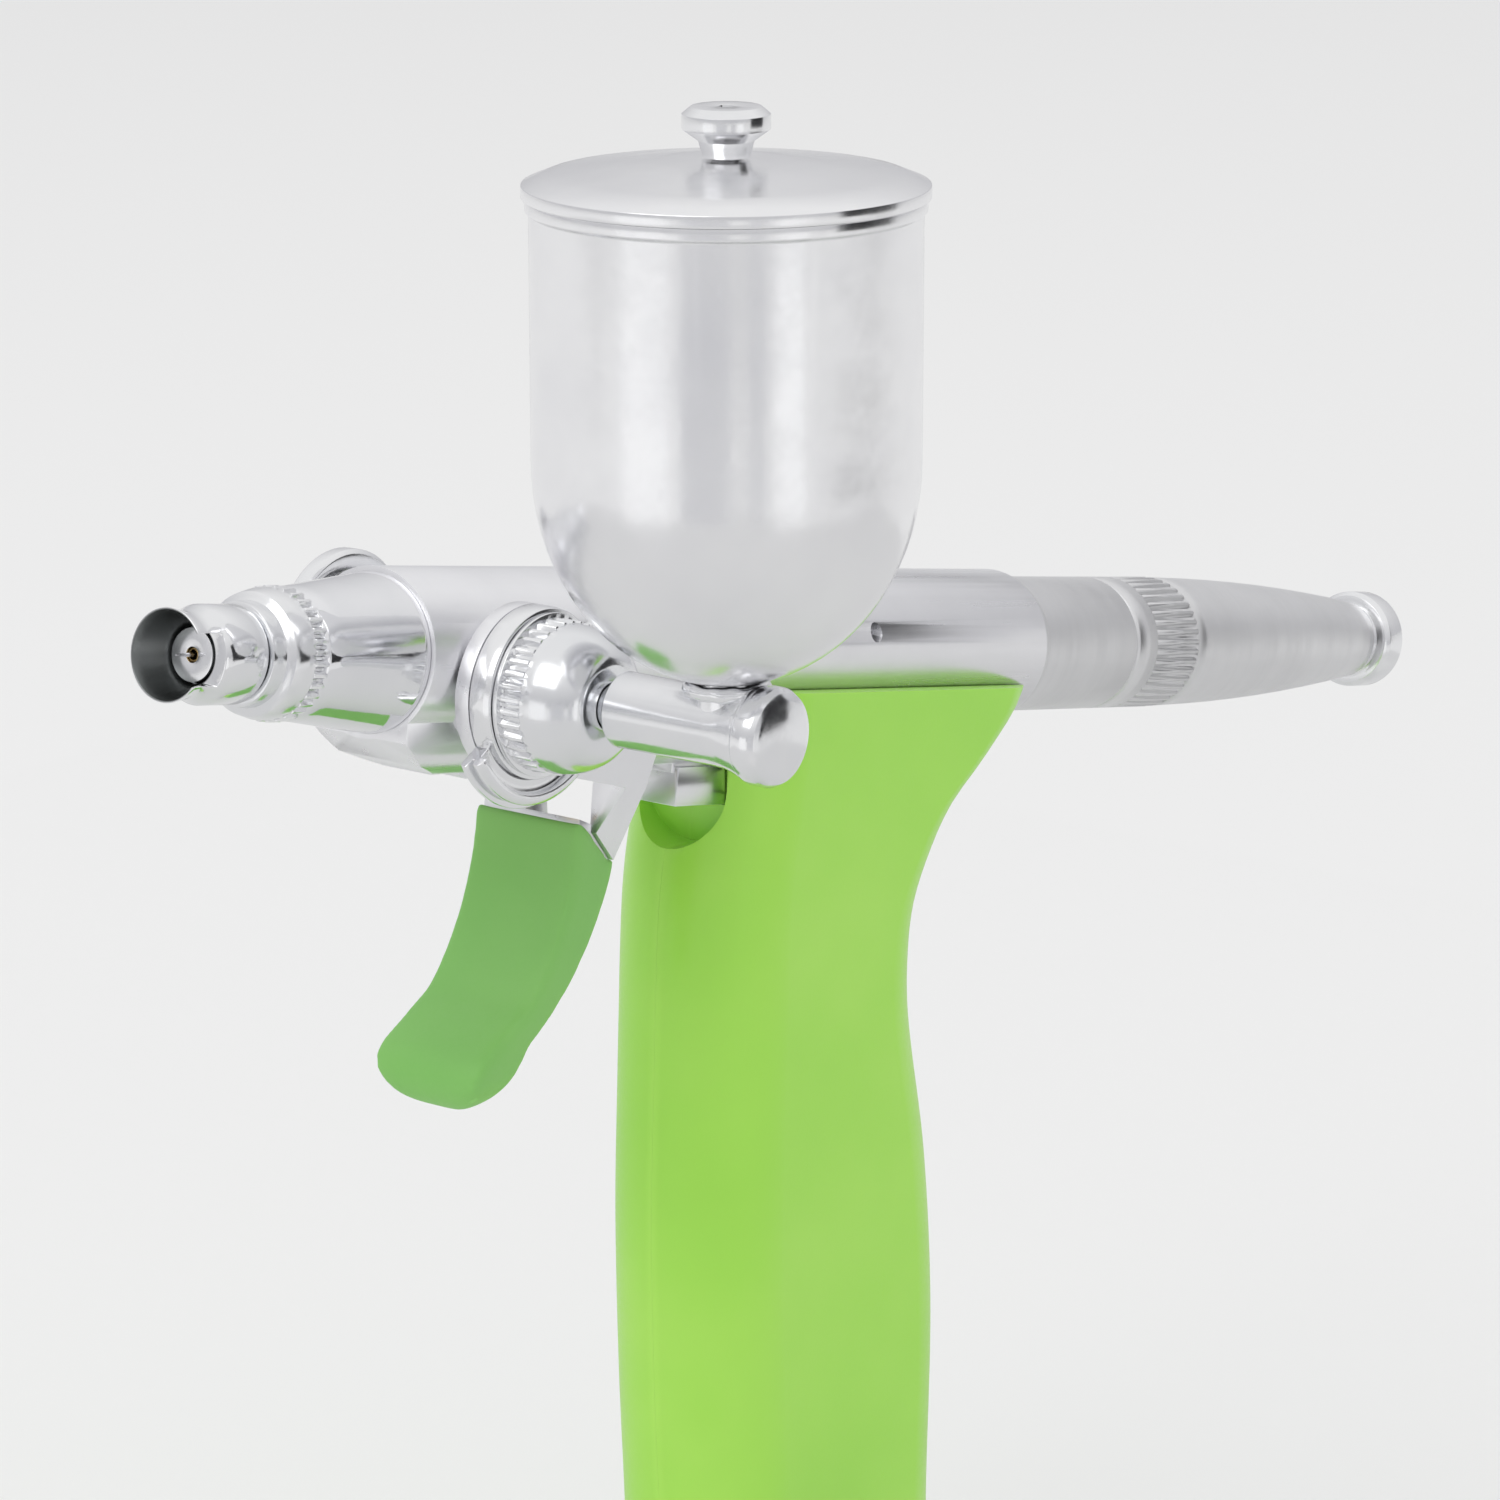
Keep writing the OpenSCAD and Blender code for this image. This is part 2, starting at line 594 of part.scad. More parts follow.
module cup_bowl() color(chrome) at_cup() rotate_extrude($fn = 96) translate([0, bowl_z]) difference() {
  polygon(concat(ellipse(cup_r, cup_bottom, -90, 0, 20), [[cup_r, cup_wall - 1],
    [cup_r + 0.25, cup_wall - 0.8], [cup_r + 0.25, cup_wall], [0, cup_wall]]));
  polygon(concat([[0, -cup_bottom + wall]],
    ellipse(cup_r - wall, cup_bottom - wall, -89, 0, 20),
    [[cup_r - wall, cup_wall + 1], [0, cup_wall + 1]]));
  translate([0, -cup_bottom - 1]) square([2.25, 3]);
}

module cup_stem() color(chrome) difference() {
  union() {
    at_pivot() cross_turned([[0, 12.05], [1.9, 12.05], [2.9, 12.7], [2.9, 13.4], [neck_r, 13.5],
      [neck_r, stem_start], [2.5, stem_start], [stem_r, stem_start + 0.25], [stem_r, 25.2],
      [2.8, 26.4], [3.1, 27.5], [3.35, 28.2], [0, 28.2]]);
    at_cup() cylinder(r = 2.2, h = bowl_low + 1.1);
  }
  at_pivot() cross_rod(11, cup_offset + 1, 1.1);
  at_cup() cylinder(r = 1.1, h = 8);
}
module stem_end_cap() color(chrome) at_pivot()
  cross_turned([[0, 28.25], [3.4, 28.25], [cap_r, 28.6], [cap_r, 29.6], [3.2, 30.15],
    [2.6, stem_end], [0, stem_end]]);
module cup_seal() color(white) at_cup() translate([0, 0, bowl_low + 1.15]) difference() {
  cylinder(r = 2.4, h = 0.6);
  translate([0, 0, -1]) cylinder(r = 1.2, h = 3);
}

module cup_nut() color(chrome) at_pivot() difference() {
  union() {
    cross_rod(nut_back, nut_back + 0.35, nut_r + 0.35);
    rotate([90, 0, 0]) translate([0, 0, nut_back + 0.3]) linear_extrude(1.7) knurl(nut_r, 36);
    cross_turned(concat([[0, nut_back + 2]], [for (i = [0 : 6]) let (a = 12 * i)
      [2.5 + 2.85 * cos(a), nut_back + 2 + 4.1 * sin(a)]], [[0, nut_back + 6.0]]));
  }
  cross_rod(nut_back - 1, 13.6, nipple_r + 0.05);
  cross_rod(nut_back, 20, neck_r + 0.08);
}

module cup_lid() color(chrome) at_cup() translate([0, 0, bowl_top]) rotate_extrude($fn = 96) difference() {
  union() {
    polygon([[0, 0.05], [cup_r + 0.5, 0.05], [cup_r + 0.5, 0.9], [cup_r - 1, 1.5], [5, 2.4], [0, 2.6]]);
    translate([0, -2]) square([cup_r - wall - 0.05, 2.1]);
  }
  polygon([[0, -3], [cup_r - 2 * wall - 0.1, -3], [cup_r - 2 * wall - 0.1, 0.3], [5, 1.5], [0, 1.7]]);
  square([1.05, 5]);
}
module lid_knob() color(chrome) at_cup() translate([0, 0, bowl_top]) rotate_extrude($fn = 96)
  polygon([[0, 1.8], [1, 1.8], [1, 2.65], [1.6, 2.7], [1.9, 3.8], [3, 4.6], [3, 5.6], [2.4, 6.1],
    [0.5, 6.1], [0.5, 3], [0, 3]]);

needle_cap();
nozzle_cap();
nozzle();
nozzle_seal();
head_sleeve();
body();
needle_packing();
packing_screw();
spring_case();
near_disc();
far_disc();
port_nipple();
port_plug();
plug_seal();
tail_collar();
tail_handle();
preset_screw();
preset_knob();
needle();
needle_carrier();
needle_chuck();
chuck_nut();
needle_spring();
trigger_yoke();
trigger_bushes();
trigger_sleeve();
valve_block();
valve_seat();
valve_stem();
valve_poppet();
valve_spring();
valve_cap();
grip_left();
grip_right();
grip_screws();
base_plate();
air_tube();
air_inlet();
inlet_seal();
cup_bowl();
cup_stem();
stem_end_cap();
cup_seal();
cup_nut();
cup_lid();
lid_knob();
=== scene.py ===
import json
import math

import bmesh
import bpy
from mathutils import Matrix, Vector


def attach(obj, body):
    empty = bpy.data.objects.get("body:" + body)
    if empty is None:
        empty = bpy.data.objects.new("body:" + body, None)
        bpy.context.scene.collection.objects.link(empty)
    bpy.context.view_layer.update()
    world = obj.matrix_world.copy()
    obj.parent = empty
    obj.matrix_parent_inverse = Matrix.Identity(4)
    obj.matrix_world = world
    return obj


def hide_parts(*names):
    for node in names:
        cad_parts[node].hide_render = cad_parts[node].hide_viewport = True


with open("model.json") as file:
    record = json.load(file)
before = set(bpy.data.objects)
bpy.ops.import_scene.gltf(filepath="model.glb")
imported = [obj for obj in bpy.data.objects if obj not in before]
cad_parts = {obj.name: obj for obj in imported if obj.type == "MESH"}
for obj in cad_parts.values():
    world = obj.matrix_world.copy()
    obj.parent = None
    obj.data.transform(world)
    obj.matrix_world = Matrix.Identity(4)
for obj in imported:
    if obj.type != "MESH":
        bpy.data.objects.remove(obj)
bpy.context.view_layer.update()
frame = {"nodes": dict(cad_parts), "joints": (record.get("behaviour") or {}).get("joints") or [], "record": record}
NODES = frame["nodes"]
MM = 0.001

# ---- dimensions, from the CAD ----
NOSE_UP = math.radians(10.5)
BARREL_RISE = 1.7      # the barrel's axis over the trigger pivot, mm
pivot_joint = next(j for j in frame["joints"] if j["name"] == "trigger_pull")
PIVOT = Vector(pivot_joint["pos_m"])
AXIS = Vector((math.cos(NOSE_UP), 0, -math.sin(NOSE_UP)))
UP = Vector((math.sin(NOSE_UP), 0, math.cos(NOSE_UP)))
BARREL = PIVOT + UP * BARREL_RISE * MM


def on_barrel(x, y=0.0, z=0.0):
    """A point given in the barrel's own axes, in millimetres."""
    return BARREL + AXIS * x * MM + Vector((0, y * MM, 0)) + UP * z * MM


def at_pivot(x, y=0.0, z=0.0):
    """A point given from the trigger pivot in the row axes, in millimetres."""
    return PIVOT + Vector((x, y, z)) * MM


# ---- node helpers ----
class Mat:
    """A Principled material, with short calls for the nodes around it."""

    def __init__(self, name, **inputs):
        self.mat = bpy.data.materials.new(name)
        self.mat.use_nodes = True
        self.tree = self.mat.node_tree
        self.bsdf = self.tree.nodes["Principled BSDF"]
        for key, value in inputs.items():
            self.bsdf.inputs[key.replace("_", " ")].default_value = value
        self.coord = self.tree.nodes.new("ShaderNodeTexCoord").outputs["Object"]

    def link(self, a, b):
        self.tree.links.new(a, b)

    def scaled(self, scale, rotate=(0, 0, 0)):
        m = self.tree.nodes.new("ShaderNodeMapping")
        m.inputs["Scale"].default_value = scale
        m.inputs["Rotation"].default_value = rotate
        self.link(self.coord, m.inputs["Vector"])
        return m.outputs["Vector"]

    def along(self, stretch, scale):
        """Coordinates turned into the barrel's axes, then stretched."""
        turn = self.scaled((1, 1, 1), (0, -NOSE_UP, 0))
        m = self.tree.nodes.new("ShaderNodeMapping")
        m.inputs["Scale"].default_value = [s * scale for s in stretch]
        self.link(turn, m.inputs["Vector"])
        return m.outputs["Vector"]

    def noise(self, scale, detail=3.0, rough=0.5, vector=None):
        n = self.tree.nodes.new("ShaderNodeTexNoise")
        n.inputs["Scale"].default_value = scale
        n.inputs["Detail"].default_value = detail
        n.inputs["Roughness"].default_value = rough
        self.link(vector or self.coord, n.inputs["Vector"])
        return n.outputs["Fac"]

    def ramp(self, fac, stops):
        r = self.tree.nodes.new("ShaderNodeValToRGB")
        e = r.color_ramp.elements
        while len(e) < len(stops):
            e.new(0.5)
        for el, (pos, col) in zip(e, stops):
            el.position = pos
            el.color = (*col, 1.0)
        self.link(fac, r.inputs["Fac"])
        return r.outputs["Color"]

    def span(self, fac, low, high, start=0.35, end=0.65):
        m = self.tree.nodes.new("ShaderNodeMapRange")
        m.inputs["From Min"].default_value = start
        m.inputs["From Max"].default_value = end
        m.inputs["To Min"].default_value = low
        m.inputs["To Max"].default_value = high
        self.link(fac, m.inputs["Value"])
        return m.outputs["Result"]

    def worn(self, colour, edge, amount=0.5):
        """Mixes an edge colour in along convex edges."""
        geo = self.tree.nodes.new("ShaderNodeNewGeometry")
        mask = self.span(geo.outputs["Pointiness"], 0.0, amount, 0.52, 0.6)
        mix = self.tree.nodes.new("ShaderNodeMix")
        mix.data_type = "RGBA"
        self.link(mask, mix.inputs["Factor"])
        self.link(colour, mix.inputs["A"])
        mix.inputs["B"].default_value = (*edge, 1.0)
        return mix.outputs["Result"]

    def bump(self, height, strength, distance, normal=None):
        b = self.tree.nodes.new("ShaderNodeBump")
        b.inputs["Strength"].default_value = strength
        b.inputs["Distance"].default_value = distance
        self.link(height, b.inputs["Height"])
        if normal is not None:
            self.link(normal, b.inputs["Normal"])
        return b.outputs["Normal"]

    def use(self, **links):
        for key, out in links.items():
            self.link(out, self.bsdf.inputs[key.replace("_", " ")])
        return self.mat


def metal(name, dark, light, rough, scratch=(1, 1, 1), scratch_scale=900.0, depth=0.00002, wave=0.0002,
          bore=None):
    """Metal with faint clouds, fine scratches and lighter edges; painted shade inside a bore if given."""
    m = Mat(name, Metallic=1.0)
    cloud = m.noise(90, 4, 0.6)
    fine = m.noise(1.0, 4, 0.65, m.along(scratch, scratch_scale))
    colour = m.ramp(cloud, [(0.3, dark), (0.7, light)])
    edge = [min(1.0, c * 1.08) for c in light]
    base = m.worn(colour, edge)
    r = m.span(fine, rough[0], rough[1])
    n = m.bump(cloud, 0.12, wave)
    n = m.bump(fine, 0.25, depth, n)
    # painted shade: the inside of the bore is tinted dark where shadow falls
    if bore:
        base, r = painted_bore_shade(m, base, r, *bore)
    return m.use(Base_Color=base, Roughness=r, Normal=n)


# painted shade for the inside of the needle cap: a dark tint, a duller roughness and the width of its soft border
BORE_SHADE_TINT = (0.20, 0.21, 0.21, 1)
BORE_ROUGH = 0.34
BORE_BLEND = 0.00004


def painted_bore_shade(m, base, rough, front, slope, limit):
    """Inside of a turned cone on the barrel's axis: painted shade, a dark tint with a dull roughness, chosen by
    its place.
    """
    turn = m.tree.nodes.new("ShaderNodeMapping")
    turn.vector_type = "POINT"
    turn.inputs["Rotation"].default_value = (0, -NOSE_UP, 0)
    shift = m.tree.nodes.new("ShaderNodeVectorMath")
    shift.operation = "SUBTRACT"
    shift.inputs[1].default_value = front
    m.link(m.coord, shift.inputs[0])
    m.link(shift.outputs[0], turn.inputs["Vector"])
    part = m.tree.nodes.new("ShaderNodeSeparateXYZ")
    m.link(turn.outputs["Vector"], part.inputs["Vector"])
    flat = m.tree.nodes.new("ShaderNodeCombineXYZ")
    m.link(part.outputs["Y"], flat.inputs["X"])
    m.link(part.outputs["Z"], flat.inputs["Y"])
    size = m.tree.nodes.new("ShaderNodeVectorMath")
    size.operation = "LENGTH"
    m.link(flat.outputs["Vector"], size.inputs[0])
    cone = m.tree.nodes.new("ShaderNodeMath")
    cone.operation = "MULTIPLY_ADD"
    m.link(part.outputs["X"], cone.inputs[0])
    cone.inputs[1].default_value = slope
    m.link(size.outputs["Value"], cone.inputs[2])
    mask = m.span(cone.outputs["Value"], 1.0, 0.0, limit - BORE_BLEND, limit + BORE_BLEND)
    shade = m.tree.nodes.new("ShaderNodeMix")
    shade.data_type = "RGBA"
    m.link(mask, shade.inputs["Factor"])
    m.link(base, shade.inputs["A"])
    shade.inputs["B"].default_value = BORE_SHADE_TINT
    dull = m.tree.nodes.new("ShaderNodeMix")
    m.link(mask, dull.inputs["Factor"])
    m.link(rough, dull.inputs["A"])
    dull.inputs["B"].default_value = BORE_ROUGH
    return shade.outputs["Result"], dull.outputs["Result"]


def moulded(name, deep, mid, high, rough, grain, coat):
    """Moulded plastic or rubber in three close tones, with a fine grain."""
    m = Mat(name, Metallic=0.0)
    m.bsdf.inputs["IOR"].default_value = 1.5
    m.bsdf.inputs["Coat Weight"].default_value = coat
    m.bsdf.inputs["Coat Roughness"].default_value = 0.22
    m.bsdf.inputs["Subsurface Weight"].default_value = 0.08
    m.bsdf.inputs["Subsurface Radius"].default_value = (0.002, 0.003, 0.001)
    m.bsdf.inputs["Subsurface Scale"].default_value = 0.4
    cloud = m.noise(45, 3, 0.5)
    fine = m.noise(grain, 5, 0.7)
    colour = m.ramp(cloud, [(0.25, deep), (0.5, mid), (0.75, high)])
    base = m.worn(colour, [min(1.0, c * 1.25 + 0.03) for c in mid], 0.4)
    r = m.span(fine, rough[0], rough[1])
    n = m.bump(fine, 0.3, 0.00004)
    n = m.bump(cloud, 0.15, 0.0004, n)
    return m.use(Base_Color=base, Roughness=r, Normal=n)


# how scratches stretch in the barrel's axes
RING = (0.04, 1, 1)
LONG = (1, 0.04, 0.04)
EVEN = (1, 1, 1)
BORE = (on_barrel(-29.4), 0.38, 0.00317)    # front of the needle cap, slope and radius of its inside
MATS = {
    "chrome": metal("chrome_polished", (0.80, 0.81, 0.83), (0.88, 0.88, 0.89), (0.13, 0.20)),
    "chrome_head": metal("chrome_head", (0.78, 0.79, 0.81), (0.86, 0.86, 0.88), (0.06, 0.11)),
    # the needle cap's inside gets painted shade
    "chrome_cap": metal("chrome_cap", (0.80, 0.81, 0.83), (0.88, 0.88, 0.89), (0.08, 0.14), bore=BORE),
    "chrome_body": metal("chrome_body", (0.82, 0.82, 0.84), (0.88, 0.88, 0.90), (0.27, 0.36),
                         RING, 700, 0.00001),
    "chrome_cup": metal("chrome_cup", (0.84, 0.84, 0.86), (0.90, 0.90, 0.91), (0.16, 0.25),
                        EVEN, 300, 0.00001, 0.0006),
    "satin": metal("chrome_satin", (0.70, 0.70, 0.71), (0.78, 0.78, 0.79), (0.36, 0.48),
                   LONG, 1400, 0.00002),
    "steel": metal("steel_ground", (0.52, 0.52, 0.54), (0.66, 0.66, 0.68), (0.18, 0.32),
                   RING, 1600, 0.00003),
    "brass": metal("brass_turned", (0.70, 0.50, 0.22), (0.83, 0.64, 0.32), (0.16, 0.30),
                   LONG, 1500, 0.00003),
    "ptfe": moulded("ptfe", (0.80, 0.80, 0.76), (0.86, 0.86, 0.82), (0.9, 0.9, 0.87),
                    (0.45, 0.6), 1800, 0.0),
    "rubber": moulded("rubber_black", (0.012, 0.012, 0.012), (0.02, 0.02, 0.02), (0.035, 0.035, 0.034),
                      (0.55, 0.8), 2200, 0.0),
    "lime": moulded("grip_lime", (0.36, 0.78, 0.07), (0.40, 0.82, 0.085), (0.45, 0.85, 0.11),
                    (0.30, 0.42), 2600, 0.2),
    "leaf": moulded("sleeve_green", (0.19, 0.50, 0.10), (0.23, 0.56, 0.125), (0.27, 0.60, 0.15),
                    (0.45, 0.6), 2400, 0.0),
}
SLOT_MATS = {"chrome": "chrome", "satin_chrome": "satin", "steel": "steel", "brass": "brass", "ptfe": "ptfe",
             "rubber": "rubber", "lime_grip": "lime", "green_sleeve": "leaf"}
slot_of = {p["node"]: p["material_slot"] for p in frame["record"]["subparts"]}
SPECIAL = {"needle_cap": "chrome_cap", "head_sleeve": "chrome_head", "body": "chrome_body",
           "cup_bowl": "chrome_cup", "cup_lid": "chrome_cup", "valve_block": "chrome_body",
           "trigger_yoke": "chrome_body"}


def paint(obj, key):
    obj.data.materials.clear()
    obj.data.materials.append(MATS[key])


def dress(obj, bevel, angle=32.0, segments=2):
    """Smooth faces and small rounded edges; bevel is in millimetres."""
    weld = obj.modifiers.new("weld", "WELD")
    weld.merge_threshold = 2e-6
    if bevel:
        b = obj.modifiers.new("edge", "BEVEL")
        b.width = bevel * MM
        b.segments = segments
        b.limit_method = "ANGLE"
        b.angle_limit = math.radians(angle)
        b.use_clamp_overlap = True
    for p in obj.data.polygons:
        p.use_smooth = True


USUAL_BEVEL = 0.06
BEVELS = {"body": 0.12, "grip_left": 0.3, "grip_right": 0.3, "trigger_yoke": 0.2, "valve_block": 0.25,
          "near_disc": 0.05, "cup_nut": 0.05, "nozzle_cap": 0.05,
          "tail_handle": 0.0, "needle_spring": 0.0, "valve_spring": 0.0}
for name, node in NODES.items():
    paint(node, SPECIAL.get(name, SLOT_MATS[slot_of[name]]))
    dress(node, BEVELS.get(name, USUAL_BEVEL))

# ---- soft finger sleeve: the moulded piece has no hard edge ----
SLEEVE_VOXEL = 0.26
sleeve = NODES["trigger_sleeve"]
sleeve.modifiers.clear()
dress(sleeve, 0)
rm = sleeve.modifiers.new("skin", "REMESH")
rm.mode = "VOXEL"
rm.voxel_size = SLEEVE_VOXEL * MM
rm.use_smooth_shade = True
sm = sleeve.modifiers.new("soften", "SMOOTH")
sm.factor = 0.5
sm.iterations = 55


# ---- mesh helpers ----
def piece(name, verts, faces, key=None, body=None):
    """A new mesh object, with a material and a body to ride if given."""
    me = bpy.data.meshes.new(name)
    me.from_pydata([tuple(v) for v in verts], [], faces)
    me.update()
    ob = bpy.data.objects.new(name, me)
    bpy.context.scene.collection.objects.link(ob)
    if key:
        me.materials.append(MATS[key])
    for p in me.polygons:
        p.use_smooth = True
    if body:
        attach(ob, body)
    return ob


def skin(rings, loop=False):
    """Faces between rings of equally many points, with capped ends; loop joins the last ring to the first."""
    n = len(rings[0])
    verts = [p for ring in rings for p in ring]
    pairs = len(rings) if loop else len(rings) - 1
    faces = []
    for k in range(pairs):
        a, b = k * n, ((k + 1) % len(rings)) * n
        faces += [(a + i, a + (i + 1) % n, b + (i + 1) % n, b + i) for i in range(n)]
    if not loop:
        faces.append(tuple(range(n - 1, -1, -1)))
        faces.append(tuple((len(rings) - 1) * n + i for i in range(n)))
    return verts, faces


def block(place, lo, hi):
    """A cutter box given in the axes of place, in millimetres."""
    corners = [(x, y, z) for z in (lo[2], hi[2]) for x, y in
               ((lo[0], lo[1]), (hi[0], lo[1]), (hi[0], hi[1]), (lo[0], hi[1]))]
    verts, faces = skin([[place(*c) for c in corners[:4]], [place(*c) for c in corners[4:]]])
    return piece("cutter", verts, faces)


def drill(place, start, end, r, n=48):
    """A round cutter from start to end."""
    a, b = place(*start), place(*end)
    w = (b - a).normalized()
    u = w.orthogonal().normalized()
    v = w.cross(u)
    ring = [(u * math.cos(t) + v * math.sin(t)) * r * MM for t in (2 * math.pi * i / n for i in range(n))]
    verts, faces = skin([[a + p for p in ring], [b + p for p in ring]])
    return piece("cutter", verts, faces)


def carve(ob, cutters=()):
    """Cuts ob with each cutter and keeps the result, with its other modifiers, as plain mesh."""
    for c in cutters:
        m = ob.modifiers.new("cut", "BOOLEAN")
        m.operation = "DIFFERENCE"
        m.solver = "EXACT"
        m.object = c
    bpy.context.view_layer.update()
    dg = bpy.context.evaluated_depsgraph_get()
    me = bpy.data.meshes.new_from_object(ob.evaluated_get(dg))
    ob.modifiers.clear()
    ob.data = me
    for c in cutters:
        bpy.data.objects.remove(c)


# ---- grip shells: height, front face and rear face of each section, from the pivot ----
SECTIONS = [(-5, 28, 70.5), (-13.4, 27, 68), (-17.3, 26.2, 63.2), (-20.2, 25.5, 58.6), (-23.4, 25, 55.6),
            (-27.5, 24.7, 53.2), (-32.2, 24.5, 52.4), (-37, 24.3, 52.6), (-48.8, 23.9, 54.9),
            (-62, 24.2, 56), (-78, 25, 55.6), (-90.4, 24.6, 55.6)]
HALF = 7.3               # half the grip's width, and its faces' radius
TOP_Z, FOOT_Z, LEVELS = -5, -90.4, 85
DENT_X, DENT_Z, DENT = 43.5, -26, 0.4
SPLIT = 0.004            # each shell stops this far from the middle plane
SCREWS = [(47, -27), (30.5, -50), (47.5, -78)]


def section_at(z):
    """Front and rear face at a height, on a smooth curve through the sections."""
    rows = SECTIONS
    k = max(i for i in range(len(rows) - 1) if rows[i][0] >= z - 1e-9)
    z0, z1 = rows[k][0], rows[k + 1][0]
    h = z1 - z0
    u = (z - z0) / h

    def slope(i, c):
        a, b = max(i - 1, 0), min(i + 1, len(rows) - 1)
        return (rows[b][c] - rows[a][c]) / (rows[b][0] - rows[a][0])

    out = []
    for c in (1, 2):
        p0, p1, m0, m1 = rows[k][c], rows[k + 1][c], slope(k, c) * h, slope(k + 1, c) * h
        out.append((2 * u**3 - 3 * u**2 + 1) * p0 + (u**3 - 2 * u**2 + u) * m0
                   + (3 * u**2 - 2 * u**3) * p1 + (u**3 - u**2) * m1)
    return out


def grip_ring(z, n=72):
    """The grip's outline at a height, with the soft dent on both sides."""
    front, rear = section_at(z)
    ring = []
    for i in range(n):
        a = 2 * math.pi * i / n
        r = min(HALF, (rear - front) / 2)
        cx = rear - r if math.cos(a) >= 0 else front + r
        x, y = cx + r * math.cos(a), HALF * math.sin(a)
        dent = DENT * math.exp(-((x - DENT_X) / 2.4) ** 2 - ((z - DENT_Z) / 8.0) ** 2)
        ring.append(at_pivot(x, y - math.copysign(dent, y) if abs(y) > 3 else y, z))
    return ring


levels = [TOP_Z + (FOOT_Z - TOP_Z) * i / (LEVELS - 1) for i in range(LEVELS)]
verts, faces = skin([grip_ring(z) for z in levels])
grip = piece("grip_form", verts, [tuple(reversed(f)) for f in faces])
# room for the barrel, its rail, the valve block, the pusher's recess in front and the inlet
cutters = [block(on_barrel, (-5, -20, -2.5), (120, 20, 40)),
           drill(on_barrel, (0, 0, 0), (120, 0, 0), 6.16, 96),
           block(on_barrel, (-1, -4.26, -8.56), (65.1, 4.26, 0)),
           block(on_barrel, (21.6, -3.4, -11.6), (49.4, 3.4, -5.6)),
           drill(at_pivot, (19.5, 0, -14.6), (29, 0, -14.6), 4.1),
           block(at_pivot, (19.6, -4.1, -14.6), (29.1, 4.1, -4.1)),
           drill(at_pivot, (39, 0, -91.4), (39, 0, -80), 4.1)]
cutters += [drill(at_pivot, (x, 5.2, z), (x, 8.4, z), 2.3) for x, z in SCREWS]
carve(grip, cutters)
dress(grip, 0.28, 38, 3)
carve(grip)
for name, side in (("grip_left", -1), ("grip_right", 1)):
    shell = bpy.data.objects.new(name + "_shell", grip.data.copy())
    bpy.context.scene.collection.objects.link(shell)
    halves = bmesh.new()
    halves.from_mesh(shell.data)
    bmesh.ops.bisect_plane(halves, geom=halves.verts[:] + halves.edges[:] + halves.faces[:], dist=1e-6,
                           plane_co=at_pivot(0, SPLIT * side, 0), plane_no=(0, -side, 0), clear_outer=True)
    rim = [e for e in halves.edges if e.is_boundary]
    for e in rim:
        e.smooth = False
    bmesh.ops.triangle_fill(halves, edges=rim, use_beauty=True)
    bmesh.ops.recalc_face_normals(halves, faces=halves.faces[:])
    halves.to_mesh(shell.data)
    halves.free()
    paint(shell, "lime")
    even = shell.modifiers.new("even", "WEIGHTED_NORMAL")
    even.keep_sharp = True
    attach(shell, "gun")
    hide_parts(name)
bpy.data.objects.remove(grip)

# ---- inlet with its real thread ----
PITCH = 0.907            # G1/8, 28 turns to the inch
TURN_STEPS = 10


def thread_ring(z, n=64):
    """A ring through the helical thread at a height, fading out at both ends."""
    ring = []
    for i in range(n):
        a = 2 * math.pi * i / n
        lead = min(1.0, max(0.0, z - 0.1) / 0.8) * min(1.0, max(0.0, 8.4 - z) / 0.5)
        wave = 0.5 + 0.5 * math.cos(2 * math.pi * (z / PITCH) - a)
        r = 4.3 + 0.54 * wave * lead
        ring.append(Vector((r * math.cos(a), r * math.sin(a), z)) * MM)
    return ring


def round_ring(r, z, n=64):
    turns = [2 * math.pi * i / n for i in range(n)]
    return [Vector((r * math.cos(a), r * math.sin(a), z)) * MM for a in turns]


def hex_ring(r, z, cut, n=66):
    """A hexagon of corner radius r, its corners cut back to a circle."""
    ring = []
    for i in range(n):
        a = 2 * math.pi * i / n
        flat = r * math.cos(math.pi / 6) / math.cos(a % (math.pi / 3) - math.pi / 6)
        d = min(flat, cut)
        ring.append(Vector((d * math.cos(a), d * math.sin(a), z)) * MM)
    return ring


rings = [thread_ring(PITCH * k / TURN_STEPS) for k in range(10 * TURN_STEPS)]
rings += [round_ring(4.2, 9.2), round_ring(2.6, 9.2), round_ring(2.6, 0), round_ring(3.9, 0)]
v, f = skin(rings, loop=True)
inlet = piece("inlet_thread", v, f, "chrome", "gun")
# hexagon, stem above it, and the bore in two steps
rings = [hex_ring(6.6, 9, 5.9), hex_ring(6.6, 9.5, 6.6), hex_ring(6.6, 11.4, 6.6), hex_ring(6.6, 11.95, 5.9),
         round_ring(4, 12, 66), round_ring(4, 23, 66), round_ring(1.85, 23, 66), round_ring(1.85, 16, 66),
         round_ring(2.6, 16, 66), round_ring(2.6, 9, 66)]
v, f = skin(rings, loop=True)
fitting = piece("inlet_body", v, f, "chrome", "gun")
dress(fitting, 0.12, 25)
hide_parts("air_inlet")


# ---- fused bead between the cup and its stem ----
BEAD_R, BEAD_UP = 2.5, 2.95


def ripple(a, b):
    """Small irregular waves around the bead, about -1 to 1."""
    return math.sin(5 * a + 1.3) * 0.5 + math.sin(11 * a + b) * 0.3 + math.sin(3 * b + 2 * a) * 0.2


CUP = at_pivot(0, -25.5, 0)
rings = []
for i in range(72):
    a = 2 * math.pi * i / 72
    ring = []
    for k in range(14):
        b = 2 * math.pi * k / 14
        grow = 1 + 0.16 * ripple(a, b)
        r = BEAD_R + 0.62 * grow * math.cos(b)
        up = BEAD_UP + 0.55 * grow * math.sin(b)
        ring.append(CUP + Vector((r * math.cos(a), r * math.sin(a), up)) * MM)
    rings.append(ring)
v, f = skin(rings, loop=True)
bead = piece("cup_bead", v, f, "chrome", "cup")


